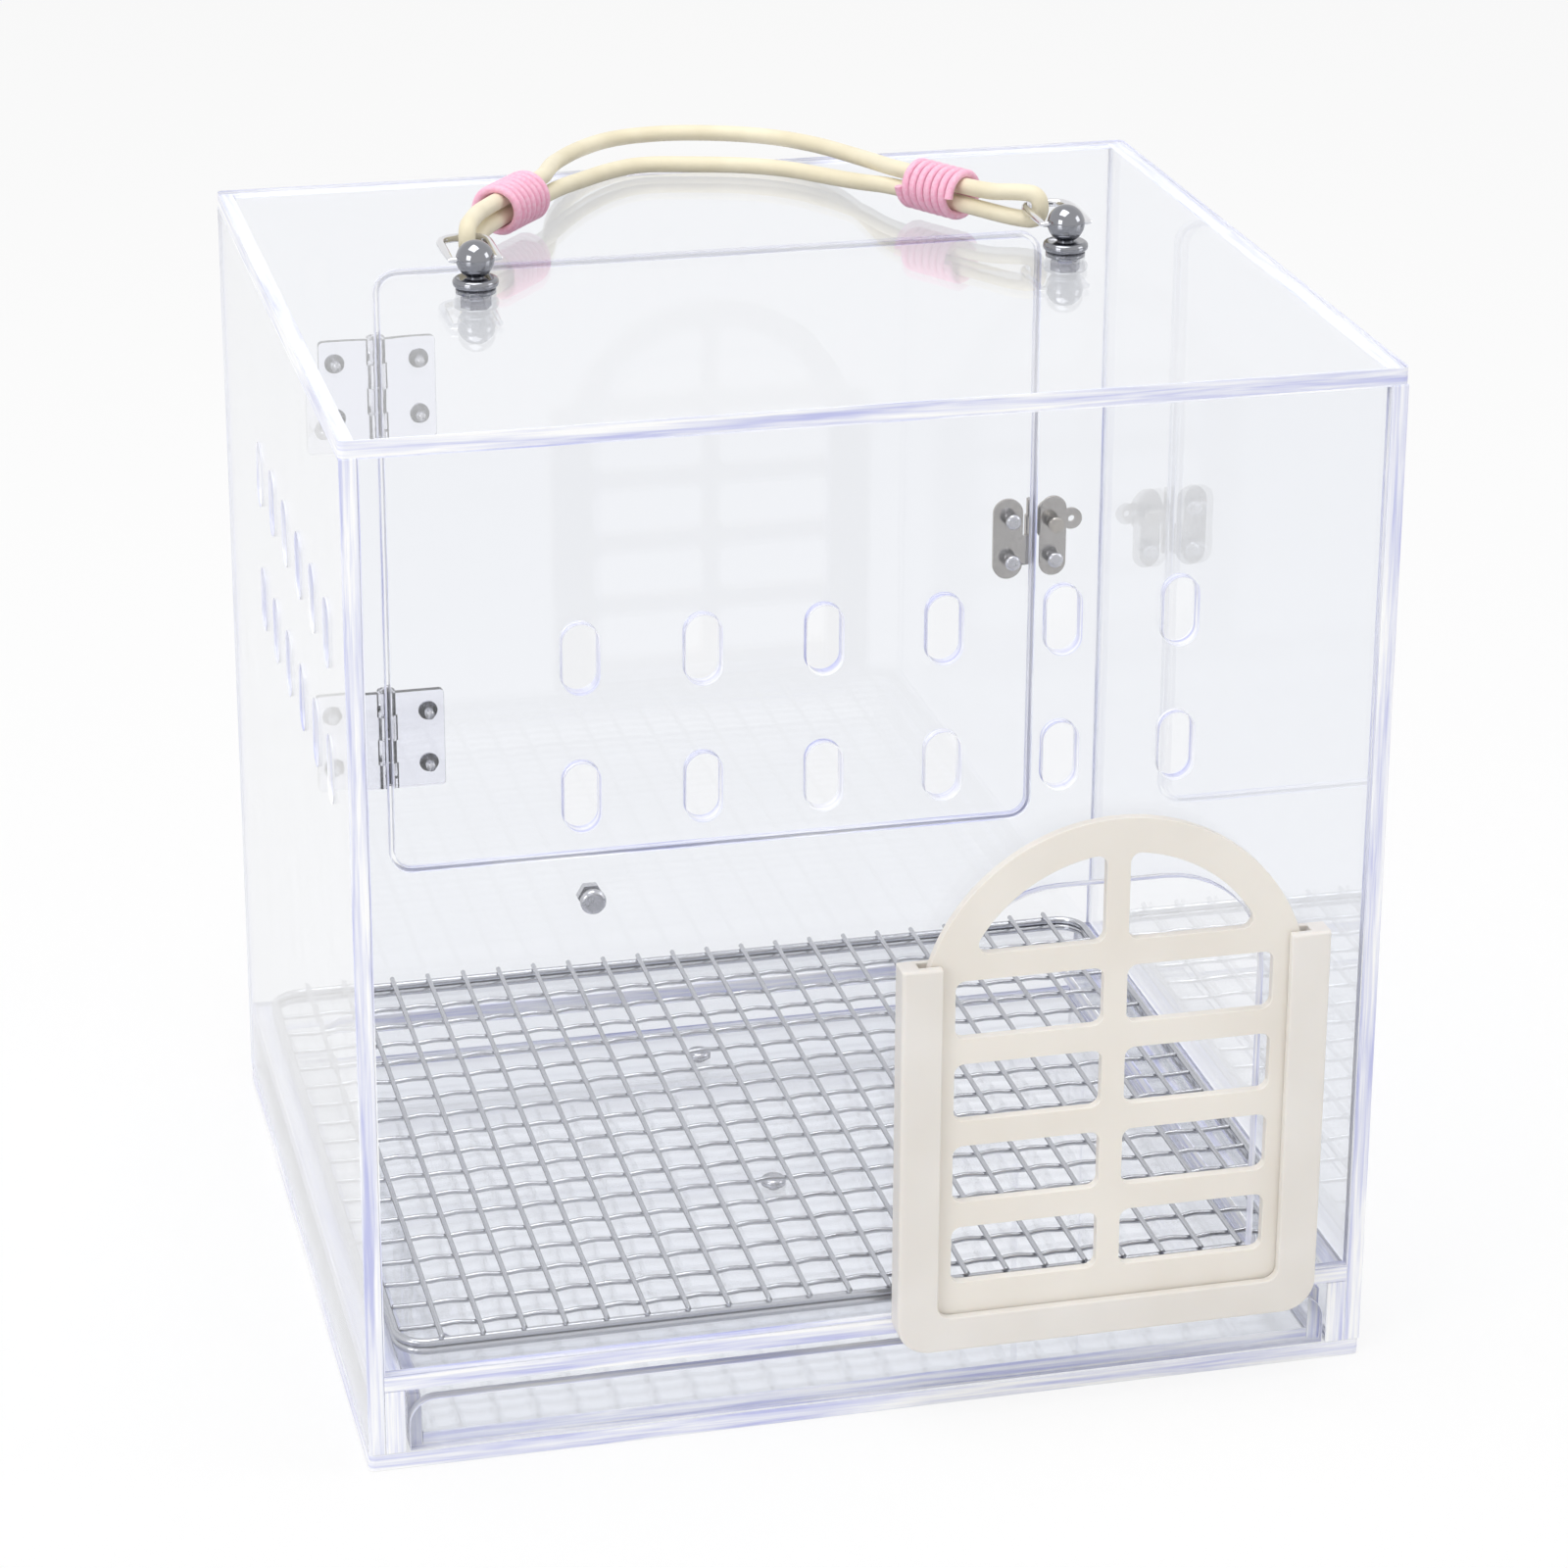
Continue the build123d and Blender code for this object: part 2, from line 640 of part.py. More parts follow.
# --- studs and shackles -----------------------------------------------------------------
def ball_stud(x):
    """A turned post: shank, flange, neck and a ball that is cross-drilled for the pin."""
    nut_end = wall_top - stud_nut_height
    flange_top = case_height + stud_flange_height
    stud = rod_z(stud_shank, x, 0, nut_end, case_height)
    stud = stud + rod_z(stud_flange, x, 0, case_height, flange_top)
    stud = stud + rod_z(stud_neck, x, 0, case_height, pivot_z)
    stud = stud + Pos(x, 0, pivot_z) * Sphere(stud_ball / 2)
    bore = shackle_pin + 2 * run_gap
    return stud - rod_x(bore, 0, pivot_z, x - stud_ball, x + stud_ball)


def stud_washers():
    """Round-edged washers between the flanges and the balls."""
    washers = []
    low = case_height + stud_flange_height
    for x in spread(2, stud_spacing):
        ring = rod_z(stud_washer, x, 0, low, low + stud_washer_height)
        rims = ring.edges().filter_by(GeomType.CIRCLE)
        ring = fillet(rims, stud_washer_height * 0.45)
        bore = rod_z(stud_neck + 2 * screw_gap, x, 0, low - 1, low + stud_washer_height + 1)
        ball = Pos(x, 0, pivot_z) * Sphere(stud_ball / 2 + screw_gap)
        washers.append(ring - bore - ball)
    return Compound(washers)


def stud_nuts():
    """Hexagon nuts under the top panel."""
    nuts = []
    for x in spread(2, stud_spacing):
        body = extrude(Plane((x, 0, wall_top - stud_nut_height)) *
                       RegularPolygon(stud_nut / 2, 6, major_radius=False), stud_nut_height)
        bore = rod_z(stud_shank + 2 * screw_gap, x, 0, wall_top - sheet, wall_top + 1)
        nuts.append(body - bore)
    return Compound(nuts)


def shackle(x):
    """A wire bow lying back from the stud, with an eye on each arm for the pin."""
    reach = (shackle_inside + shackle_wire) / 2
    left = (x - reach, shackle_eye / 2 - 0.4, pivot_z)
    left_end = (x - reach, shackle_arm, pivot_z)
    right_end = (x + reach, shackle_arm, pivot_z)
    right = (x + reach, shackle_eye / 2 - 0.4, pivot_z)
    top = (x, shackle_arm + reach, pivot_z)
    route = Wire([Line(left, left_end), ThreePointArc(left_end, top, right_end),
                  Line(right_end, right)])
    section = Plane(origin=left, z_dir=(0, 1, 0)) * Circle(shackle_wire / 2)
    bow = sweep(section, path=route)
    for side in (-1, 1):
        middle = x + side * reach
        bow = bow + rod_x(shackle_eye, 0, pivot_z, middle - shackle_wire / 2,
                          middle + shackle_wire / 2)
    return bow - rod_x(shackle_pin + 2 * screw_gap, 0, pivot_z, x - 2 * reach, x + 2 * reach)


def shackle_pins():
    reach = shackle_inside / 2 + shackle_wire + shackle_pin_over
    pins = [rod_x(shackle_pin, 0, pivot_z, x - reach, x + reach)
            for x in spread(2, stud_spacing)]
    return Compound([chamfer(pin.edges().filter_by(GeomType.CIRCLE), 0.3) for pin in pins])


# --- rope handle ------------------------------------------------------------------------
strand_rise = (rope + rope_side_gap) / 2
whip_radius = strand_rise + rope / 2 + whip_clear + whip_cord / 2
whip_pitch = whip_cord + whip_gap


def plan_step(start, end):
    """Unit direction from start to end in plan."""
    length = math.dist(start, end)
    return ((end[0] - start[0]) / length, (end[1] - start[1]) / length)


def along(point, direction, distance, z):
    """A point at the height z, a distance along a plan direction."""
    return (point[0] + distance * direction[0], point[1] + distance * direction[1], z)


def hook_points(side, whipping):
    """The rope's corner points round one shackle, from the upper strand to the lower."""
    step = plan_step(*whipping)
    outer = along(whipping[0], step, -rope_straight, 0)[:2]
    bow_middle = (side * stud_spacing / 2, shackle_arm)
    pull = plan_step(bow_middle, outer)
    bow_radius = (shackle_inside + shackle_wire) / 2
    wire = along(bow_middle, pull, bow_radius, 0)[:2]
    points = []
    for rise in (1, -1):
        lead = [along(outer, (0, 0), 0, pivot_z + rise * strand_rise),
                along(wire, pull, rope_hook, pivot_z + rise * rope_hook * 0.97),
                along(wire, pull, -rope_hook, pivot_z + rise * rope_hook)]
        points += lead if rise > 0 else lead[::-1]
    return points


def handle_points():
    """The rope's whole route: one closed loop whose ends meet inside the left whipping."""
    left_step = plan_step(*whip_left)
    right_step = plan_step(*whip_right)
    middle = along(whip_left[0], left_step, math.dist(*whip_left) / 2, 0)[:2]
    low = pivot_z - strand_rise
    high = pivot_z + strand_rise
    left_in = along(whip_left[1], left_step, rope_straight, 0)[:2]
    right_in = along(whip_right[1], right_step, rope_straight, 0)[:2]
    lay = case_height
    back_strand = [(-50.5, 94, lay + 11), (-45, 113, lay + 8), (-34, 133, lay + 6.5),
                   (-20, 147.5, lay + 6), (-2, 151, lay + 6), (16, 147, lay + 6),
                   (32, 138.5, lay + 6), (43.5, 123, lay + 6.4), (49, 104, lay + 7.8),
                   (52, 85, lay + 10)]
    front_strand = [(47.5, 80, lay + 4.6), (39.5, 93, lay + 3.7), (30, 106, lay + 3.4),
                    (17, 114.5, lay + 3.3), (1, 119, lay + 3.3), (-15, 122.5, lay + 3.4),
                    (-27, 115, lay + 3.7), (-37, 104, lay + 4.4), (-47, 91, lay + 5.8)]
    points = [along(middle, left_step, -rope_side_gap, low)]
    points += hook_points(-1, whip_left)[::-1]
    points += [(*left_in, high)] + back_strand + [(*right_in, high)]
    points += hook_points(1, whip_right)
    points += [(*right_in, low)] + front_strand + [(*left_in, low)]
    points += [along(middle, left_step, rope_side_gap, low)]
    return points


def bend_radii(points):
    """The radius at each corner that its two runs leave room for."""
    radii = []
    for before, here, after in zip(points, points[1:], points[2:]):
        come = Vector(*here) - Vector(*before)
        go = Vector(*after) - Vector(*here)
        turn = math.radians(come.get_angle(go))
        radii.append(0.45 * min(come.length, go.length) / math.tan(turn / 2))
    return radii


def print_self_gap(label, route, width, apart):
    """Prints a tube's length and its least gap to itself between points that lie apart."""
    count = 900
    step = route.length / count
    samples = [route @ (i / count) for i in range(count + 1)]
    skip = int(apart / step)
    gap = min((samples[i] - samples[j]).length for i in range(0, count + 1, 2)
              for j in range(i + skip, count + 1)) - width
    print(label, "length", round(route.length, 1), "least gap to itself", round(gap, 2))


def handle_cord():
    """Both strands of the rope, led round the shackles and through the whippings."""
    points = handle_points()
    radii = bend_radii(points)
    route = FilletPolyline(*points, radius=radii)
    section = Plane(origin=route @ 0, z_dir=route % 0) * Circle(rope / 2)
    tube = sweep(section, path=route)
    expected = math.pi * rope ** 2 / 4 * route.length
    print("rope radii", [round(r, 1) for r in sorted(radii)[:6]], "volume ratio",
          round(tube.volume / expected, 4))
    return tube


def whip_frame(whipping):
    """Start, axis, side and up directions of a whipping."""
    step = plan_step(*whipping)
    start = Vector(*whipping[0], pivot_z)
    axis = Vector(*step, 0)
    return start, axis, Vector(0, 0, 1).cross(axis), Vector(0, 0, 1)


def whip_route(whipping):
    """The whipping's line: a helix of two arcs for every half turn, with straight ends."""
    start, axis, across, up = whip_frame(whipping)
    length = math.dist(*whipping)
    first = (length - whip_turns * whip_pitch) / 2
    rise = whip_pitch / (2 * math.pi)

    def point(angle):
        return (start + axis * (first + rise * angle) + across * (whip_radius * math.cos(angle))
                + up * (whip_radius * math.sin(angle)))

    def heading(angle):
        raw = (axis * rise - across * (whip_radius * math.sin(angle))
               + up * (whip_radius * math.cos(angle)))
        return raw.normalized()

    edges = [Line(point(0) - heading(0) * whip_cord, point(0))]
    for i in range(2 * whip_turns):
        a, b = i * math.pi, (i + 1) * math.pi
        chord = point(b) - point(a)
        both = heading(a) + heading(b)
        square = both.dot(both) - 4
        slope = -2 * chord.dot(both)
        rest = chord.dot(chord)
        reach = (-slope - math.sqrt(slope ** 2 - 4 * square * rest)) / (2 * square)
        joint = (point(a) + point(b) + (heading(a) - heading(b)) * reach) / 2
        edges.append(TangentArc(point(a), joint, tangent=heading(a)))
        edges.append(TangentArc(point(b), joint, tangent=heading(b) * -1))
    last = 2 * whip_turns * math.pi
    edges.append(Line(point(last), point(last) + heading(last) * whip_cord))
    return Wire(edges)


def whipping(ends):
    """The pink cord wound round both strands as one unbroken tube."""
    route = whip_route(ends)
    section = Plane(origin=route @ 0, z_dir=route % 0) * Circle(whip_cord / 2)
    tube = sweep(section, path=route)
    print_self_gap("whipping", route, whip_cord, 4 * whip_cord)
    return tube


# --- fixing in the back wall ------------------------------------------------------------
def perch_screw():
    return outer_screw(perch_screw_x, perch_screw_z, sheet + perch_nut_height,
                       head=perch_screw_head, head_height=perch_screw_head_height,
                       shank=perch_screw_shank, seat=back_face - sheet, side=-1)


def perch_nut_part():
    plane = Plane((perch_screw_x, back_face, perch_screw_z), x_dir=(1, 0, 0),
                  z_dir=(0, 1, 0))
    body = extrude(plane * RegularPolygon(perch_nut / 2, 6, major_radius=False),
                   perch_nut_height)
    return body - rod_y(perch_screw_shank + 2 * screw_gap, perch_screw_x, perch_screw_z,
                        back_face - 1, back_face + perch_nut_height + 1)


left_stud_x, right_stud_x = spread(2, stud_spacing)
upper_hinge_z, lower_hinge_z = hinge_heights

parts = {
    "base_panel": base_panel(),
    "left_side_panel": side_panel(-1),
    "right_side_panel": side_panel(1),
    "top_panel": top_panel(),
    "front_panel": front_panel(),
    "back_panel": back_panel(),
    "floor_plate": floor_plate(),
    "left_floor_rail": floor_rail(-1),
    "right_floor_rail": floor_rail(1),
    "gate_channel": gate_channel(),
    "gate_grille": gate_grille(),
    "drawer_floor": drawer_floor(),
    "drawer_front": drawer_front(),
    "drawer_back": drawer_back_wall(),
    "drawer_left_wall": drawer_side(-1),
    "drawer_right_wall": drawer_side(1),
    "drawer_screws": drawer_screws(),
    "back_door": back_door(),
    "upper_hinge_frame_leaf": hinge_leaf_part(upper_hinge_z, -1),
    "upper_hinge_door_leaf": hinge_leaf_part(upper_hinge_z, 1),
    "upper_hinge_pin": hinge_pin_part(upper_hinge_z),
    "lower_hinge_frame_leaf": hinge_leaf_part(lower_hinge_z, -1),
    "lower_hinge_door_leaf": hinge_leaf_part(lower_hinge_z, 1),
    "lower_hinge_pin": hinge_pin_part(lower_hinge_z),
    "hinge_frame_screws": hinge_screws(-1),
    "hinge_door_screws": hinge_screws(1),
    "hasp_door_plate": hasp_door_plate(),
    "hasp_frame_plate": hasp_frame_plate(),
    "hasp_flap": hasp_flap(),
    "hasp_pin": hasp_pin_part(),
    "hasp_door_screws": hasp_screws(-1),
    "hasp_frame_screw": hasp_screws(1),
    "turn_staple": turn_staple(),
    "mesh_frame": mesh_frame(),
    "mesh_wires_along": mesh_along(),
    "mesh_wires_across": mesh_across(),
    "left_ball_stud": ball_stud(left_stud_x),
    "right_ball_stud": ball_stud(right_stud_x),
    "stud_washers": stud_washers(),
    "stud_nuts": stud_nuts(),
    "left_shackle": shackle(left_stud_x),
    "right_shackle": shackle(right_stud_x),
    "shackle_pins": shackle_pins(),
    "handle_cord": handle_cord(),
    "left_whipping": whipping(whip_left),
    "right_whipping": whipping(whip_right),
    "perch_screw": perch_screw(),
    "perch_nut": perch_nut_part(),
}

os.makedirs("parts", exist_ok=True)
for name, solid in parts.items():
    export_step(solid, f"parts/{name}.step")
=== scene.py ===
import bmesh
import bpy
import math
from mathutils import Matrix, Vector


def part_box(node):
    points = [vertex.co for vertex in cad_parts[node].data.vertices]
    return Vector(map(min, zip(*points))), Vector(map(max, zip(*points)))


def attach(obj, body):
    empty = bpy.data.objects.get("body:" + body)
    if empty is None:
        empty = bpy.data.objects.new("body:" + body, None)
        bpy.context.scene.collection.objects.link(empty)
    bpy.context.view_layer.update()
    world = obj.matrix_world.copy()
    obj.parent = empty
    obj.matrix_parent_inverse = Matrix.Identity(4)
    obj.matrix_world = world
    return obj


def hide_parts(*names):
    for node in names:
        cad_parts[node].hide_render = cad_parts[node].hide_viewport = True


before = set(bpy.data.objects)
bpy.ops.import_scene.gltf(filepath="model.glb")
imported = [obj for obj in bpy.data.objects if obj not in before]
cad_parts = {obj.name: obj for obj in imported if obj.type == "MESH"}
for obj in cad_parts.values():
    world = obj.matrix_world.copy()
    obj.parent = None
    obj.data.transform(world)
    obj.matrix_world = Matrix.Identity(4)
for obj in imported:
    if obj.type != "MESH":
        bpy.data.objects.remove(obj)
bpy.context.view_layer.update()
MM = 0.001

# ---- Base and top ----------------------------------------------------------------------
# Two 5 mm sheets of cast acrylic, saw-cut to 300 by 264 mm, that close the box below and
# above. Their rims are flame-polished, which leaves fine waves. The light guided in the sheet
# is painted into the rim colour as white and lavender streaks: painted glints, and painted
# shade over the sheet's own lavender tint. The top is drilled for the two ball studs.
TINT_WIDE = "F9FAFC"
TINT_DEEP = "8C90F0"
# Rim colours paint the light guided in the sheet as streaks: deep lavender painted shade,
# through pale lavender, to white painted glints.
RIM_PAINTED_SHADE = "C3C6EC"
RIM_PAINTED_HALF_LIGHT = "E2E4F5"
RIM_PAINTED_GLINT = "F3F4FB"
SHEET_EDGE = 0.35 * MM
CEMENT = 0.04 * MM
STUD_BORE = 4.3 * MM


def linear(text):
    """An sRGB hex colour as the linear colour that a shader socket holds."""
    values = [int(text[i:i + 2], 16) / 255 for i in (0, 2, 4)]
    return tuple(v / 12.92 if v <= 0.04045 else ((v + 0.055) / 1.055) ** 2.4
                 for v in values) + (1.0,)


def material(name):
    """An empty node material of that name."""
    made = bpy.data.materials.new(name)
    made.use_nodes = True
    made.node_tree.nodes.clear()
    return made


def add(made, kind, inputs=None, **settings):
    """Adds a node with its settings, and sets or links its inputs."""
    node = made.node_tree.nodes.new("ShaderNode" + kind)
    for key, value in settings.items():
        setattr(node, key, value)
    for key, value in (inputs or {}).items():
        if isinstance(value, bpy.types.NodeSocket):
            made.node_tree.links.new(value, node.inputs[key])
        else:
            node.inputs[key].default_value = value
    return node


def ramp_stops(ramp, *stops):
    """Sets a Color Ramp's stops from pairs of place and linear colour."""
    line = ramp.color_ramp
    while len(line.elements) < len(stops):
        line.elements.new(0.5)
    for element, (place, colour) in zip(line.elements, stops):
        element.position = place
        element.color = colour


def cast_acrylic(name, wave_scale, wave_height, roughness):
    """Clear cast sheet: water-white on its face, lavender where light runs along it."""
    made = material(name)
    place = add(made, "TexCoord")
    wave = add(made, "TexNoise", {"Vector": place.outputs["Object"], "Scale": wave_scale,
                                  "Detail": 2.0, "Roughness": 0.5})
    bump = add(made, "Bump", {"Height": wave.outputs["Fac"], "Strength": 1.0,
                              "Distance": wave_height})
    sheet = add(made, "BsdfPrincipled", {
        "Base Color": linear(TINT_WIDE), "Roughness": roughness, "IOR": 1.49,
        "Transmission Weight": 1.0, "Normal": bump.outputs["Normal"]})
    lamp_light = add(made, "BsdfTransparent", {"Color": linear("FBFBFE")})
    path = add(made, "LightPath")
    blend = add(made, "MixShader", {0: path.outputs["Is Shadow Ray"],
                                    1: sheet.outputs["BSDF"], 2: lamp_light.outputs["BSDF"]})
    inside = add(made, "VolumeAbsorption", {"Color": linear(TINT_DEEP), "Density": 0.6})
    add(made, "OutputMaterial", {"Surface": blend.outputs["Shader"],
                                 "Volume": inside.outputs["Volume"]})
    return made


acrylic_face = cast_acrylic("cast_acrylic_face", 22.0, 0.00002, 0.0)


def rim_with_painted_light(name, across):
    """A clear sheet's rim, opaque: the light guided in the sheet is painted into its colour as
    streaks along the edge, white painted glints and lavender painted shade.
    """
    made = material(name)
    place = add(made, "TexCoord")
    stretch = add(made, "Mapping", {"Vector": place.outputs["Object"], "Scale": across})
    wave_and_glint_streak = add(made, "TexNoise", {"Vector": stretch.outputs["Vector"], "Scale": 130.0,
                                    "Detail": 3.0, "Roughness": 0.6, "Distortion": 0.3})
    # Painted light: the streak mask paints the rim from deep lavender shade to white glints.
    # The same streaks give the real flame-polish waves in the bump.
    tone = add(made, "ValToRGB", {"Fac": wave_and_glint_streak.outputs["Fac"]})
    ramp_stops(tone, (0.32, linear(RIM_PAINTED_SHADE)), (0.46, linear(RIM_PAINTED_HALF_LIGHT)),
               (0.56, linear(RIM_PAINTED_GLINT)), (0.64, linear("FFFFFF")))
    bump = add(made, "Bump", {"Height": wave_and_glint_streak.outputs["Fac"], "Strength": 0.5,
                              "Distance": 0.0002})
    rim = add(made, "BsdfPrincipled", {
        "Base Color": tone.outputs["Color"], "Roughness": 0.12, "IOR": 1.49,
        "Normal": bump.outputs["Normal"]})
    add(made, "OutputMaterial", {"Surface": rim.outputs["BSDF"]})
    return made


acrylic_rims_painted_light = {
    "X": rim_with_painted_light("flame_polished_upright_side_rim_painted_light", (4.0, 0.14, 0.14)),
    "Y": rim_with_painted_light("flame_polished_upright_front_rim_painted_light", (0.14, 4.0, 0.14)),
    "Z": rim_with_painted_light("flame_polished_level_rim_painted_light", (0.14, 0.14, 4.0))}


def rounded_rectangle(mesh, box, radii, segments):
    """A flat face with corners rounded one by one, from the lower left anticlockwise."""
    left, right, low, high = box
    corners = [mesh.verts.new(place) for place in
               ((left, low, 0), (right, low, 0), (right, high, 0), (left, high, 0))]
    mesh.faces.new(corners)
    for corner, radius in zip(corners, radii):
        if radius:
            bmesh.ops.bevel(mesh, geom=[corner], offset=radius, segments=segments,
                            profile=0.5, affect="VERTICES", material=-1)


def fill_and_thicken(mesh, low, high, edge, steps):
    """Fills flat loops, thickens them from low to high and softens every sharp edge."""
    bmesh.ops.delete(mesh, geom=mesh.faces[:], context="FACES_ONLY")
    bmesh.ops.remove_doubles(mesh, verts=mesh.verts[:], dist=0.002 * MM)
    bmesh.ops.triangle_fill(mesh, use_beauty=True, use_dissolve=False, edges=mesh.edges[:])
    grown = bmesh.ops.extrude_face_region(mesh, geom=mesh.faces[:])
    risen = [item for item in grown["geom"] if isinstance(item, bmesh.types.BMVert)]
    bmesh.ops.translate(mesh, vec=(0, 0, high - low), verts=risen)
    bmesh.ops.translate(mesh, vec=(0, 0, low), verts=mesh.verts[:])
    bmesh.ops.recalc_face_normals(mesh, faces=mesh.faces[:])
    soften(mesh, edge, steps)


def soften(mesh, edge, steps, angle=math.radians(40)):
    """Rounds the edges whose faces meet at more than the angle."""
    if edge:
        sharp = [e for e in mesh.edges if e.is_manifold and e.calc_face_angle(0) > angle]
        bmesh.ops.bevel(mesh, geom=sharp, offset=edge, segments=steps, profile=0.5,
                        affect="EDGES", clamp_overlap=True, material=-1)


def piece(name, mesh, body, slot, *materials, smooth=35):
    """Makes an object of the mesh, on its body, with its materials. The slot is not used."""
    data = bpy.data.meshes.new(name)
    mesh.to_mesh(data)
    mesh.free()
    for made in materials:
        data.materials.append(made)
    data.shade_smooth()
    data.set_sharp_from_angle(angle=math.radians(smooth))
    made_object = bpy.data.objects.new(name, data)
    bpy.context.scene.collection.objects.link(made_object)
    flatten = made_object.modifiers.new("flat_faces", "WEIGHTED_NORMAL")
    flatten.keep_sharp = True
    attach(made_object, body)
    return made_object


AXES = {"X": (1, 2, 0), "Y": (0, 2, 1), "Z": (0, 1, 2)}


def turned(axis):
    """The turn that takes a flat shape drawn in X and Y to face along an axis."""
    u, v, w = AXES[axis]
    turn = Matrix.Identity(3)
    for row in range(3):
        for column, target in enumerate((u, v, w)):
            turn[row][column] = 1.0 if row == target else 0.0
    return turn.to_4x4()


def acrylic_sheet(node, axis, body="case", corners=(0, 0, 0, 0), cutouts=(), edge=SHEET_EDGE):
    """A sheet of the node's size, facing along the axis, with its cut-outs and rims."""
    low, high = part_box(node)
    u, v, w = AXES[axis]
    mesh = bmesh.new()
    outline = (low[u] + CEMENT, high[u] - CEMENT, low[v] + CEMENT, high[v] - CEMENT)
    rounded_rectangle(mesh, outline, corners, 8)
    for box, radii in cutouts:
        rounded_rectangle(mesh, box, radii, 10)
    fill_and_thicken(mesh, low[w] + CEMENT, high[w] - CEMENT, edge, 2)
    bmesh.ops.transform(mesh, matrix=turned(axis), verts=mesh.verts[:])
    bmesh.ops.recalc_face_normals(mesh, faces=mesh.faces[:])
    for face in mesh.faces:
        face.material_index = 0 if abs(face.normal[w]) > 0.99 else 1
    made = piece("acrylic_" + node, mesh, body, "clear_acrylic", acrylic_face,
                 acrylic_rims_painted_light[axis], smooth=15)
    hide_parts(node)
    return made


def stadium(middle_u, middle_v, width, height):
    """A cut-out with fully rounded ends."""
    half = min(width, height) / 2 * 0.998
    box = (middle_u - width / 2, middle_u + width / 2,
           middle_v - height / 2, middle_v + height / 2)
    return box, (half,) * 4


def row(count, pitch, middle=0.0):
    """Places of a row of equal steps about its middle."""
    return [middle + (i - (count - 1) / 2) * pitch for i in range(count)]


CORNER = 2 * MM
STUD_PITCH = 180 * MM
stud_x = row(2, STUD_PITCH)
acrylic_sheet("base_panel", "Z", corners=(CORNER,) * 4, edge=0.6 * MM)
acrylic_sheet("top_panel", "Z", corners=(CORNER,) * 4, edge=0.6 * MM,
              cutouts=[stadium(x, 0, STUD_BORE, STUD_BORE) for x in stud_x])

# ---- Walls -----------------------------------------------------------------------------
# Four upright sheets of the same acrylic, cemented between base and top. The front and
# the left wall have two rows of six routed ventilation slots each, and the front is cut
# away behind the gate, with an arched top.
VENT_WIDE = 10 * MM
VENT_TALL = 20 * MM
VENT_ROWS = (243 * MM, 202.5 * MM)
FRONT_VENTS = row(6, 34.2 * MM)
SIDE_VENTS = row(6, 28.4 * MM, -24 * MM)
GATE_X = 68 * MM
DOORWAY_HALF = 46 * MM
DOORWAY_LOW = 36 * MM
DOORWAY_HIGH = 162 * MM
DOORWAY_ROUND = 30 * MM

acrylic_sheet("left_side_panel", "X",
              cutouts=[stadium(y, z, VENT_WIDE, VENT_TALL)
                       for y in SIDE_VENTS for z in VENT_ROWS])
acrylic_sheet("right_side_panel", "X")
doorway = ((GATE_X - DOORWAY_HALF, GATE_X + DOORWAY_HALF, DOORWAY_LOW, DOORWAY_HIGH),
           (0, 0, DOORWAY_ROUND, DOORWAY_ROUND))
acrylic_sheet("front_panel", "Y",
              cutouts=[stadium(x, z, VENT_WIDE, VENT_TALL)
                       for x in FRONT_VENTS for z in VENT_ROWS] + [doorway])
door_low, door_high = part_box("back_door")
DOOR_GAP = 1.2 * MM
DOOR_ROUND = 6 * MM
door_opening = ((door_low.x - DOOR_GAP, door_high.x + DOOR_GAP,
                 door_low.z - DOOR_GAP, door_high.z + DOOR_GAP),
                (DOOR_ROUND + DOOR_GAP,) * 4)
acrylic_sheet("back_panel", "Y", cutouts=[door_opening])

# ---- Floor plate and rails -------------------------------------------------------------
# A third sheet that carries the wire mesh, cut out in the middle over the drawer. Two
# solid strips under its sides hold it up and guide the drawer.
FLOOR_RIM = 20 * MM
FLOOR_RIM_FRONT_AND_BACK = 17.5 * MM
FLOOR_ROUND = 12 * MM
plate_low, plate_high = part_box("floor_plate")
acrylic_sheet("floor_plate", "Z", cutouts=[
    ((plate_low.x + FLOOR_RIM, plate_high.x - FLOOR_RIM,
      plate_low.y + FLOOR_RIM_FRONT_AND_BACK, plate_high.y - FLOOR_RIM_FRONT_AND_BACK),
     (FLOOR_ROUND,) * 4)])
for node in ("left_floor_rail", "right_floor_rail"):
    acrylic_sheet(node, "X")

# ---- Drawer ----------------------------------------------------------------------------
# A shallow tray of thinner acrylic that slides out under the floor plate. Its front has
# rounded upper corners, and three round-headed screws stand in its bottom.
DRAWER_ROUND = 8 * MM
acrylic_sheet("drawer_floor", "Z", "drawer")
acrylic_sheet("drawer_front", "Y", "drawer",
              corners=(0, 0, DRAWER_ROUND, DRAWER_ROUND))
acrylic_sheet("drawer_back", "Y", "drawer")
for node in ("drawer_left_wall", "drawer_right_wall"):
    acrylic_sheet(node, "X", "drawer")

# ---- Back door -------------------------------------------------------------------------
# A leaf cut from the back wall with a 1.2 mm saw gap all round. It hangs on two clear
# hinges and is held shut by a small hasp.
acrylic_sheet("back_door", "Y", "door", corners=(DOOR_ROUND,) * 4)

# ---- Clear hinges ----------------------------------------------------------------------
# Bought injection-moulded hinges of clear plastic, screwed to the outside with two
# screws a leaf, and turning on plain steel pins.


def finished_copy(node, name, body, slot, *materials, edge=0.0, steps=2, smooth=35):
    """A merged copy of a CAD node's mesh with softened edges, which replaces the node."""
    mesh = bmesh.new()
    mesh.from_mesh(bpy.data.objects[node].data)
    bmesh.ops.remove_doubles(mesh, verts=mesh.verts[:], dist=0.001 * MM)
    if edge:
        bmesh.ops.dissolve_limit(mesh, angle_limit=math.radians(0.5), verts=mesh.verts[:],
                                 edges=mesh.edges[:])
        soften(mesh, edge, steps)
    made = piece(name, mesh, body, slot, *materials, smooth=smooth)
    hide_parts(node)
    return made


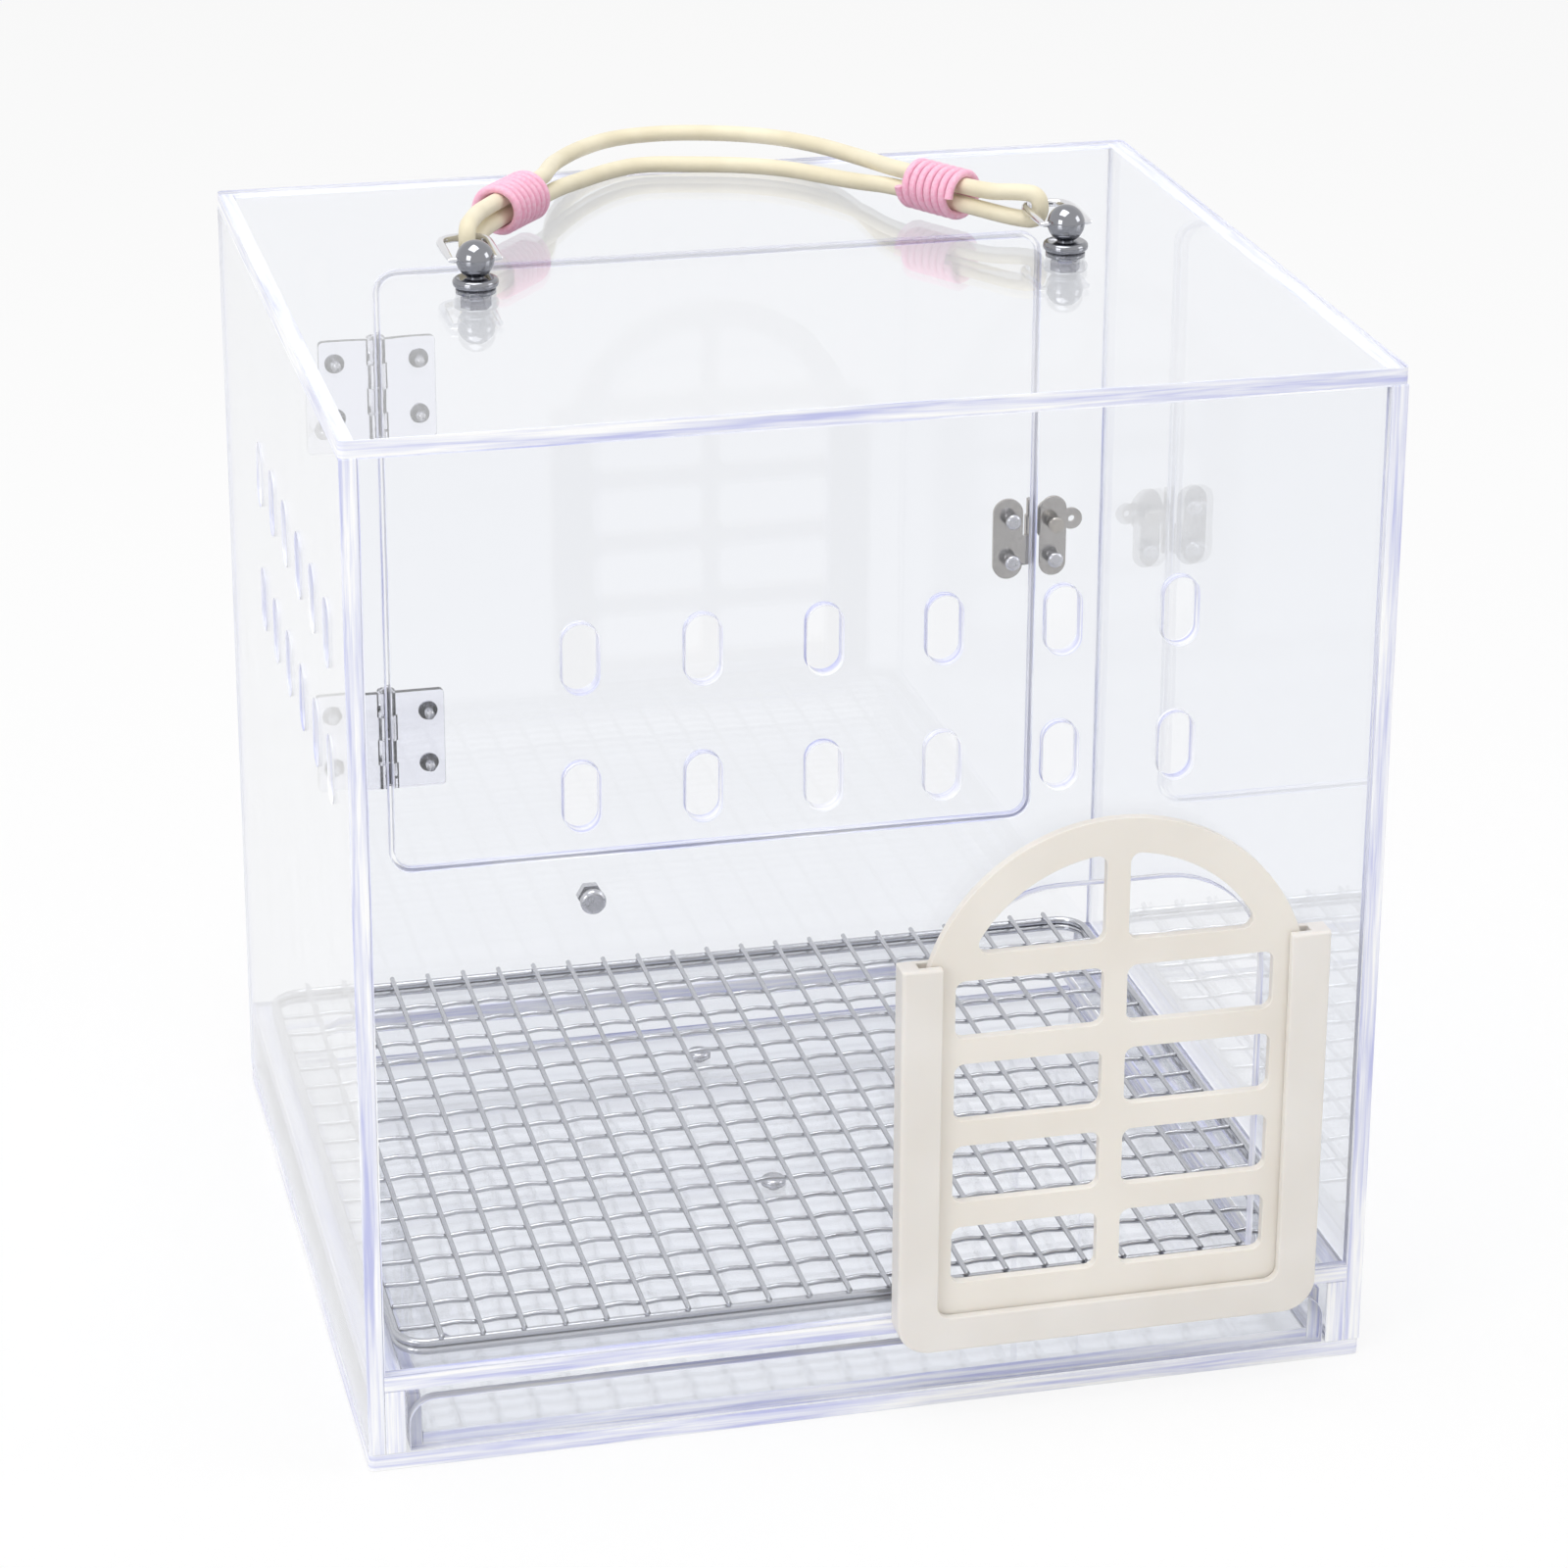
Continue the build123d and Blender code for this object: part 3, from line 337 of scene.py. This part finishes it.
def clear_moulding():
    """Clear moulded styrene: glossy, with the faint flow waves of a small moulding."""
    made = material("moulded_clear_styrene")
    place = add(made, "TexCoord")
    flow = add(made, "TexNoise", {"Vector": place.outputs["Object"], "Scale": 160.0,
                                  "Detail": 1.0})
    bump = add(made, "Bump", {"Height": flow.outputs["Fac"], "Strength": 1.0,
                              "Distance": 0.00006})
    body = add(made, "BsdfPrincipled", {
        "Base Color": linear("F6F6FC"), "Roughness": 0.02, "IOR": 1.58,
        "Transmission Weight": 1.0, "Normal": bump.outputs["Normal"]})
    lamp_light = add(made, "BsdfTransparent", {"Color": linear("F0F0F6")})
    path = add(made, "LightPath")
    blend = add(made, "MixShader", {0: path.outputs["Is Shadow Ray"],
                                    1: body.outputs["BSDF"], 2: lamp_light.outputs["BSDF"]})
    add(made, "OutputMaterial", {"Surface": blend.outputs["Shader"]})
    return made


def metal(name, colour, roughness, grain_scale, grain_height, grain=(1, 1, 1)):
    """A bare or plated metal with the fine marks that its making leaves."""
    made = material(name)
    place = add(made, "TexCoord")
    turn = add(made, "Mapping", {"Vector": place.outputs["Object"], "Scale": grain})
    marks = add(made, "TexNoise", {"Vector": turn.outputs["Vector"], "Scale": grain_scale,
                                   "Detail": 3.0})
    dull = add(made, "MapRange", {"Value": marks.outputs["Fac"], "From Min": 0.3,
                                  "From Max": 0.7, "To Min": roughness * 0.7,
                                  "To Max": roughness * 1.5})
    bump = add(made, "Bump", {"Height": marks.outputs["Fac"], "Strength": 1.0,
                              "Distance": grain_height})
    shine = add(made, "BsdfPrincipled", {
        "Base Color": linear(colour), "Metallic": 1.0,
        "Roughness": dull.outputs["Result"], "Normal": bump.outputs["Normal"]})
    add(made, "OutputMaterial", {"Surface": shine.outputs["BSDF"]})
    return made


moulded_clear = clear_moulding()
drawn_steel = metal("drawn_steel_pin", "77757A", 0.28, 900.0, 0.000004)
plated_steel = metal("zinc_plated_steel", "C4C4C8", 0.2, 700.0, 0.000006)
for level in ("upper", "lower"):
    finished_copy(level + "_hinge_frame_leaf", level + "_hinge_wall_leaf", "case",
                  "clear_hinge", moulded_clear, edge=0.15 * MM)
    finished_copy(level + "_hinge_door_leaf", level + "_hinge_leaf_on_door", "door",
                  "clear_hinge", moulded_clear, edge=0.15 * MM)
    finished_copy(level + "_hinge_pin", level + "_hinge_steel_pin", "case",
                  "dark_steel_pin", drawn_steel)
finished_copy("hinge_frame_screws", "hinge_wall_screws", "case", "steel_screws",
              plated_steel)
finished_copy("hinge_door_screws", "hinge_screws_on_door", "door", "steel_screws",
              plated_steel)

# ---- Hasp ------------------------------------------------------------------------------
# Stamped and nickel-plated: a plate on the door, a plate on the wall, a hinged tongue
# with a finger tab between them, and a knob that turns in the tongue's slot.
nickel = metal("nickel_plated_stamping", "B4AFA8", 0.16, 500.0, 0.00001)
finished_copy("hasp_frame_plate", "hasp_wall_plate", "case", "nickel_hasp", nickel,
              edge=0.3 * MM)
finished_copy("hasp_door_plate", "hasp_plate_on_door", "door", "nickel_hasp", nickel)
finished_copy("hasp_flap", "hasp_tongue", "hasp_flap", "nickel_hasp", nickel)
finished_copy("hasp_pin", "hasp_hinge_pin", "door", "nickel_hasp", nickel)
finished_copy("turn_staple", "hasp_turning_knob", "staple", "nickel_hasp", nickel)
finished_copy("hasp_frame_screw", "hasp_wall_screw", "case", "steel_screws", plated_steel)
finished_copy("hasp_door_screws", "hasp_screws_on_door", "door", "steel_screws",
              plated_steel)

# ---- Gate ------------------------------------------------------------------------------
# Two pieces of ivory ABS, the channel a shade darker: a U-shaped channel cemented to the
# front, and a grille with an arched top that is lifted in its grooves.


def moulded_abs(name, colour, shade):
    """Ivory ABS: a soft gloss, the faint mottling of a spark-eroded mould, warm within."""
    made = material(name)
    place = add(made, "TexCoord")
    cloud = add(made, "TexNoise", {"Vector": place.outputs["Object"], "Scale": 28.0,
                                   "Detail": 2.0})
    tone = add(made, "ValToRGB", {"Fac": cloud.outputs["Fac"]})
    ramp_stops(tone, (0.3, linear(shade)), (0.7, linear(colour)))
    grit = add(made, "TexNoise", {"Vector": place.outputs["Object"], "Scale": 2500.0,
                                  "Detail": 1.0})
    bump = add(made, "Bump", {"Height": grit.outputs["Fac"], "Strength": 0.35,
                              "Distance": 0.00002})
    body = add(made, "BsdfPrincipled", {
        "Base Color": tone.outputs["Color"], "Roughness": 0.36, "IOR": 1.53,
        "Subsurface Weight": 0.12, "Subsurface Radius": (0.004, 0.003, 0.002),
        "Subsurface Scale": 0.5, "Normal": bump.outputs["Normal"]})
    add(made, "OutputMaterial", {"Surface": body.outputs["BSDF"]})
    return made


grille_abs = moulded_abs("moulded_ivory_abs", "EDE8E0", "E7E1D8")
channel_abs = moulded_abs("extruded_ivory_abs", "E9E5E0", "E2DDD6")
finished_copy("gate_channel", "gate_guide_channel", "case", "ivory_plastic", channel_abs,
              edge=0.5 * MM, steps=3)
finished_copy("gate_grille", "gate_sliding_grille", "gate", "ivory_plastic", grille_abs,
              edge=0.9 * MM, steps=3)

# ---- Wire mesh floor -------------------------------------------------------------------
# Stainless wire: two bent rods one on the other make the frame, straight wires of 1.6 mm
# lie over it from front to back, and the side-to-side wires below them are crimped.
bright_wire = metal("drawn_stainless_wire", "BEBFC3", 0.16, 1200.0, 0.000004)
finished_copy("mesh_frame", "mesh_frame_rods", "mesh", "stainless_wire", bright_wire)
finished_copy("mesh_wires_along", "mesh_long_wires", "mesh", "stainless_wire", bright_wire)
cross_low, cross_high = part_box("mesh_wires_across")
WIRE = 1.6 * MM
CRIMP = 0.45 * MM
SWAY = 0.25 * MM
CROSS_COUNT = 17
LONG_COUNT = 22
long_low, long_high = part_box("mesh_wires_along")
long_pitch = (long_high.x - long_low.x - WIRE) / (LONG_COUNT - 1)
cross_pitch = (cross_high.y - cross_low.y - WIRE) / (CROSS_COUNT - 1)
cross_z = (cross_low.z + cross_high.z) / 2
weave = bpy.data.curves.new("mesh_cross_wires", "CURVE")
weave.dimensions = "3D"
for i in range(CROSS_COUNT):
    y = cross_low.y + WIRE / 2 + i * cross_pitch
    knots = [(cross_low.x, y, cross_z)]
    for j in range(2 * LONG_COUNT - 1):
        x = long_low.x + WIRE / 2 + j * long_pitch / 2
        lift = -CRIMP if j % 2 == 0 else CRIMP
        knots.append((x, y + (SWAY if (i + j) % 4 < 2 else -SWAY), cross_z + lift))
    knots.append((cross_high.x, y, cross_z))
    strand = weave.splines.new("NURBS")
    strand.points.add(len(knots) - 1)
    for point, knot in zip(strand.points, knots):
        point.co = (*knot, 1)
    strand.order_u = 3
    strand.use_endpoint_u = True
    strand.resolution_u = 3
weave.bevel_depth = WIRE / 2
weave.bevel_resolution = 2
weave.use_fill_caps = True
weave.materials.append(bright_wire)
cross_wires = bpy.data.objects.new("mesh_cross_wires", weave)
bpy.context.scene.collection.objects.link(cross_wires)
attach(cross_wires, "mesh")
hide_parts("mesh_wires_across")

# ---- Screws inside ---------------------------------------------------------------------
# Round-headed zinc-plated screws: three in the drawer's bottom, and one through the back
# wall with its nut outside.
finished_copy("drawer_screws", "drawer_bottom_screws", "drawer", "steel_screws", plated_steel)
finished_copy("perch_screw", "back_wall_screw", "case", "steel_screws", plated_steel)
finished_copy("perch_nut", "back_wall_nut", "case", "steel_screws", plated_steel)

# ---- Ball studs and shackles -----------------------------------------------------------
# Turned and chromed posts with a ball on top, each drilled for a cross pin. A bow of bent
# bright wire, slimmer at its ends, swings on each pin and takes the rope.
# Painted reflection: one chrome plating in two copies. The posts' copy is darkened to mid grey
# to stand in for dark reflections. The shackle wire's copy is kept pale for bright
# reflections.
chrome = metal("polished_chrome_plate_painted_dark", "8E8F94", 0.06, 300.0, 0.000001)
chrome_painted_pale = metal("chrome_wire_painted_pale", "DCDCDF", 0.08, 300.0, 0.000001)
SHACKLE_WIRE = 2.6 * MM
SHACKLE_REACH = 7.2 * MM
SHACKLE_LONG = 24.2 * MM
PIN_RADIUS = 0.95 * MM
PIVOT_LINE = 320 * MM


def bent_wire(name, route, radius, finish):
    """A wire along a smooth route whose points give x, y and the share of its radius."""
    line = bpy.data.curves.new(name, "CURVE")
    line.dimensions = "3D"
    spline = line.splines.new("NURBS")
    spline.points.add(len(route) - 1)
    for point, (x, y, share) in zip(spline.points, route):
        point.co = (x, y, PIVOT_LINE, 1)
        point.radius = share
    spline.order_u = 3
    spline.use_endpoint_u = True
    spline.resolution_u = 10
    line.bevel_depth = radius
    line.bevel_resolution = 5
    line.use_fill_caps = True
    line.materials.append(finish)
    made = bpy.data.objects.new(name, line)
    bpy.context.scene.collection.objects.link(made)
    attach(made, "handle")
    return made


pins = []
for side, x in zip(("left", "right"), stud_x):
    finished_copy(side + "_ball_stud", side + "_post_and_ball", "case", "chrome", chrome)
    arm = [(SHACKLE_REACH - 0.9 * MM, 0, 0.6), (SHACKLE_REACH, 0.2 * MM, 0.65),
           (SHACKLE_REACH, 3 * MM, 0.75), (SHACKLE_REACH, 10 * MM, 0.95),
           (SHACKLE_REACH, SHACKLE_LONG, 1.0)]
    route = [(x - out, y, share) for out, y, share in arm]
    route += [(x + out, y, share) for out, y, share in reversed(arm)]
    bow = bent_wire(side + "_wire_shackle", route, SHACKLE_WIRE / 2, chrome_painted_pale)
    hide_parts(side + "_shackle")
    pins.append(bent_wire(side + "_cross_pin", [
        (x - SHACKLE_REACH - 0.8 * MM, 0, 0.5), (x - SHACKLE_REACH, 0, 1.0),
        (x, 0, 1.0), (x + SHACKLE_REACH, 0, 1.0),
        (x + SHACKLE_REACH + 0.8 * MM, 0, 0.5)], PIN_RADIUS, chrome_painted_pale))
for pin in pins:
    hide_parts("shackle_pins")
finished_copy("stud_washers", "round_edged_washers", "case", "chrome", chrome)
finished_copy("stud_nuts", "stud_hexagon_nuts", "case", "steel_screws", plated_steel)

# ---- Rope handle -----------------------------------------------------------------------
# One smooth ivory rope of 5.2 mm, looped round both shackles, so that two strands make
# the grip. Its ends meet out of sight inside the left whipping.
ROPE = 5.2 * MM
rope_points = [
    (-68.3, 59.9, 317.15), (-80.3, 44.5, 317.15), (-86.2, 27.8, 315.9), (-89.0, 19.8, 315.8),
    (-89.0, 19.8, 324.2), (-86.2, 27.8, 324.1), (-80.3, 44.5, 322.85), (-55.7, 76.0, 322.85),
    (-50.5, 94, 321), (-45, 113, 318), (-34, 133, 316.5), (-20, 147.5, 316),
    (-2, 151, 316), (16, 147, 316), (32, 138.5, 316), (43.5, 123, 316.4),
    (49, 104, 317.8), (52, 85, 320), (53.5, 64.6, 322.85), (73.5, 29.9, 322.85),
    (81.0, 24.0, 324.1), (87.6, 18.9, 324.2), (87.6, 18.9, 315.8), (81.0, 24.0, 315.9),
    (73.5, 29.9, 317.15), (53.5, 64.6, 317.15), (47.5, 80, 314.6), (39.5, 93, 313.7),
    (30, 106, 313.4), (17, 114.5, 313.3), (1, 119, 313.3), (-15, 122.5, 313.4),
    (-27, 115, 313.7), (-37, 104, 314.4), (-47, 91, 315.8), (-55.7, 76.0, 317.15),
    (-67.7, 60.6, 317.15)]


def rope_cover():
    """A close woven polyester cover, waxed smooth: matt ivory with a fine diagonal rib."""
    made = material("woven_polyester_rope")
    place = add(made, "TexCoord")
    cloud = add(made, "TexNoise", {"Vector": place.outputs["Object"], "Scale": 60.0,
                                   "Detail": 3.0})
    tone = add(made, "ValToRGB", {"Fac": cloud.outputs["Fac"]})
    ramp_stops(tone, (0.3, linear("E4DABD")), (0.7, linear("F1E8CE")))
    rib = add(made, "TexNoise", {"Vector": place.outputs["Object"], "Scale": 1400.0,
                                 "Detail": 2.0})
    bump = add(made, "Bump", {"Height": rib.outputs["Fac"], "Strength": 0.4,
                              "Distance": 0.00008})
    cover = add(made, "BsdfPrincipled", {
        "Base Color": tone.outputs["Color"], "Roughness": 0.6, "Sheen Weight": 0.15,
        "Normal": bump.outputs["Normal"]})
    add(made, "OutputMaterial", {"Surface": cover.outputs["BSDF"]})
    return made


def spline_object(name, points, order=3, resolution=8):
    """A curve object of one open NURBS spline through its control points in millimetres."""
    line = bpy.data.curves.new(name, "CURVE")
    line.dimensions = "3D"
    spline = line.splines.new("NURBS")
    spline.points.add(len(points) - 1)
    for point, place in zip(spline.points, points):
        point.co = (place[0] * MM, place[1] * MM, place[2] * MM, 1)
    spline.order_u = order
    spline.use_endpoint_u = True
    spline.resolution_u = resolution
    made = bpy.data.objects.new(name, line)
    bpy.context.scene.collection.objects.link(made)
    return made


rope = spline_object("handle_rope", rope_points, resolution=12)
rope.data.bevel_depth = ROPE / 2
rope.data.bevel_resolution = 6
rope.data.use_fill_caps = True
rope.data.materials.append(rope_cover())
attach(rope, "handle")
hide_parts("handle_cord")

# ---- Whippings -------------------------------------------------------------------------
# Pink waxed cord wound seven times round both strands, pressed flat where the turns lie
# side by side.
WHIP_RADIUS = 6.95
WHIP_PITCH = 3.1
WHIP_TURNS = 7
WHIP_STEPS = 16
WHIP_CORD = 2.6 * MM
WHIP_HIGH = 320
WHIP_RUNS = (("left", (-76, 50), (-60, 70.5)), ("right", (70, 36), (57, 58.5)))


def whipping_cord():
    """Waxed cotton cord in pale pink, with a soft sheen and fine fibres."""
    made = material("waxed_cotton_cord")
    place = add(made, "TexCoord")
    fibre = add(made, "TexNoise", {"Vector": place.outputs["Object"], "Scale": 900.0,
                                   "Detail": 3.0})
    tone = add(made, "ValToRGB", {"Fac": fibre.outputs["Fac"]})
    ramp_stops(tone, (0.3, linear("F6AECA")), (0.7, linear("FBC8DC")))
    bump = add(made, "Bump", {"Height": fibre.outputs["Fac"], "Strength": 0.4,
                              "Distance": 0.00008})
    cord = add(made, "BsdfPrincipled", {
        "Base Color": tone.outputs["Color"], "Roughness": 0.5, "Sheen Weight": 0.2,
        "Normal": bump.outputs["Normal"]})
    add(made, "OutputMaterial", {"Surface": cord.outputs["BSDF"]})
    return made


pink_cord = whipping_cord()
for side, start, end in WHIP_RUNS:
    first = Vector((*start, WHIP_HIGH))
    run = Vector((*end, WHIP_HIGH)) - first
    ahead = run.normalized()
    across = Vector((0, 0, 1)).cross(ahead)
    lead = (run.length - WHIP_TURNS * WHIP_PITCH) / 2
    turns = []
    for i in range(WHIP_TURNS * WHIP_STEPS + 1):
        angle = 2 * math.pi * i / WHIP_STEPS
        turns.append(first + ahead * (lead + WHIP_PITCH * i / WHIP_STEPS)
                     + across * (WHIP_RADIUS * math.cos(angle))
                     + Vector((0, 0, 1)) * (WHIP_RADIUS * math.sin(angle)))
    cord = spline_object(side + "_pink_whipping", turns, order=4, resolution=3)
    cord.data.bevel_depth = WHIP_CORD / 2
    cord.data.bevel_resolution = 4
    cord.data.use_fill_caps = True
    cord.data.materials.append(pink_cord)
    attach(cord, "handle")
    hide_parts(side + "_whipping")

# ---- Studio ----------------------------------------------------------------------------
# A white table and a white surround, with one broad soft lamp above and two at the sides.
# The camera stands where the photograph's corners put it.
FLOOR_HALF = 6
FLOOR_DROP = 0.0002
LAMP_AIM = (0, 0, 0.15)
CAMERA_PLACE = (-0.3034, -1.2605, 0.6776)


def backdrop_white():
    """Matt white paper, lifted so that the camera, metal and glass see it as white."""
    made = material("white_paper_floor")
    paper = add(made, "BsdfDiffuse", {"Color": linear("F2F2F2")})
    glow = add(made, "Emission", {"Color": linear("FFFFFF"), "Strength": 1.0})
    blend = add(made, "MixShader", {0: 0.82, 1: paper.outputs["BSDF"],
                                    2: glow.outputs["Emission"]})
    path = add(made, "LightPath")
    seen = add(made, "Math", {0: path.outputs["Is Camera Ray"],
                              1: path.outputs["Is Glossy Ray"]}, operation="MAXIMUM")
    seen_too = add(made, "Math", {0: seen.outputs[0],
                                  1: path.outputs["Is Transmission Ray"]}, operation="MAXIMUM")
    choice = add(made, "MixShader", {0: seen_too.outputs[0], 1: paper.outputs["BSDF"],
                                     2: blend.outputs["Shader"]})
    add(made, "OutputMaterial", {"Surface": choice.outputs["Shader"]})
    return made


floor_mesh = bmesh.new()
bmesh.ops.create_grid(floor_mesh, x_segments=1, y_segments=1, size=FLOOR_HALF)
bmesh.ops.translate(floor_mesh, vec=(0, 0, -FLOOR_DROP), verts=floor_mesh.verts[:])
floor_data = bpy.data.meshes.new("studio_floor")
floor_mesh.to_mesh(floor_data)
floor_mesh.free()
floor_data.materials.append(backdrop_white())
floor = bpy.data.objects.new("studio_floor", floor_data)
bpy.context.scene.collection.objects.link(floor)

world = bpy.data.worlds.new("studio")
bpy.context.scene.world = world
world.use_nodes = True
world.node_tree.nodes.clear()
path = add(world, "LightPath")
seen = add(world, "Math", {0: path.outputs["Is Camera Ray"], 1: path.outputs["Is Glossy Ray"]},
           operation="MAXIMUM")
seen_too = add(world, "Math", {0: seen.outputs[0], 1: path.outputs["Is Transmission Ray"]},
               operation="MAXIMUM")
soft = add(world, "Background", {"Color": linear("FFFFFF"), "Strength": 0.62})
white = add(world, "Background", {"Color": linear("FFFFFF"), "Strength": 1.0})
choice = add(world, "MixShader", {0: seen_too.outputs[0], 1: soft.outputs["Background"],
                                  2: white.outputs["Background"]})
add(world, "OutputWorld", {"Surface": choice.outputs["Shader"]})


def softbox(name, place, aim, size, power):
    """A square area lamp that faces a point."""
    lamp = bpy.data.lights.new(name, "AREA")
    lamp.shape = "SQUARE"
    lamp.size = size
    lamp.energy = power
    made = bpy.data.objects.new(name, lamp)
    made.location = place
    made.rotation_euler = (Vector(aim) - Vector(place)).to_track_quat("-Z", "Y").to_euler()
    bpy.context.scene.collection.objects.link(made)


softbox("softbox_above", (-0.3, -0.2, 1.9), LAMP_AIM, 1.2, 16)
softbox("softbox_left", (-1.6, -1.2, 0.9), LAMP_AIM, 0.9, 9)
softbox("softbox_right", (1.7, -0.6, 1.0), LAMP_AIM, 0.8, 5)

camera_data = bpy.data.cameras.new("photo_camera")
camera_data.sensor_width = 36
camera_data.lens = 103.9
camera_data.shift_y = -0.125
camera_data.clip_start = 0.02
camera_data.clip_end = 50
camera = bpy.data.objects.new("photo_camera", camera_data)
right = Vector((0.972, -0.235, 0.0038))
down = Vector((-0.0762, -0.3302, -0.9408))
forward = Vector((0.2223, 0.9142, -0.3389))
facing = Matrix((right, -down, -forward)).transposed().to_4x4()
camera.matrix_world = Matrix.Translation(CAMERA_PLACE) @ facing
bpy.context.scene.collection.objects.link(camera)
bpy.context.scene.camera = camera
bpy.context.scene.view_settings.view_transform = "Standard"
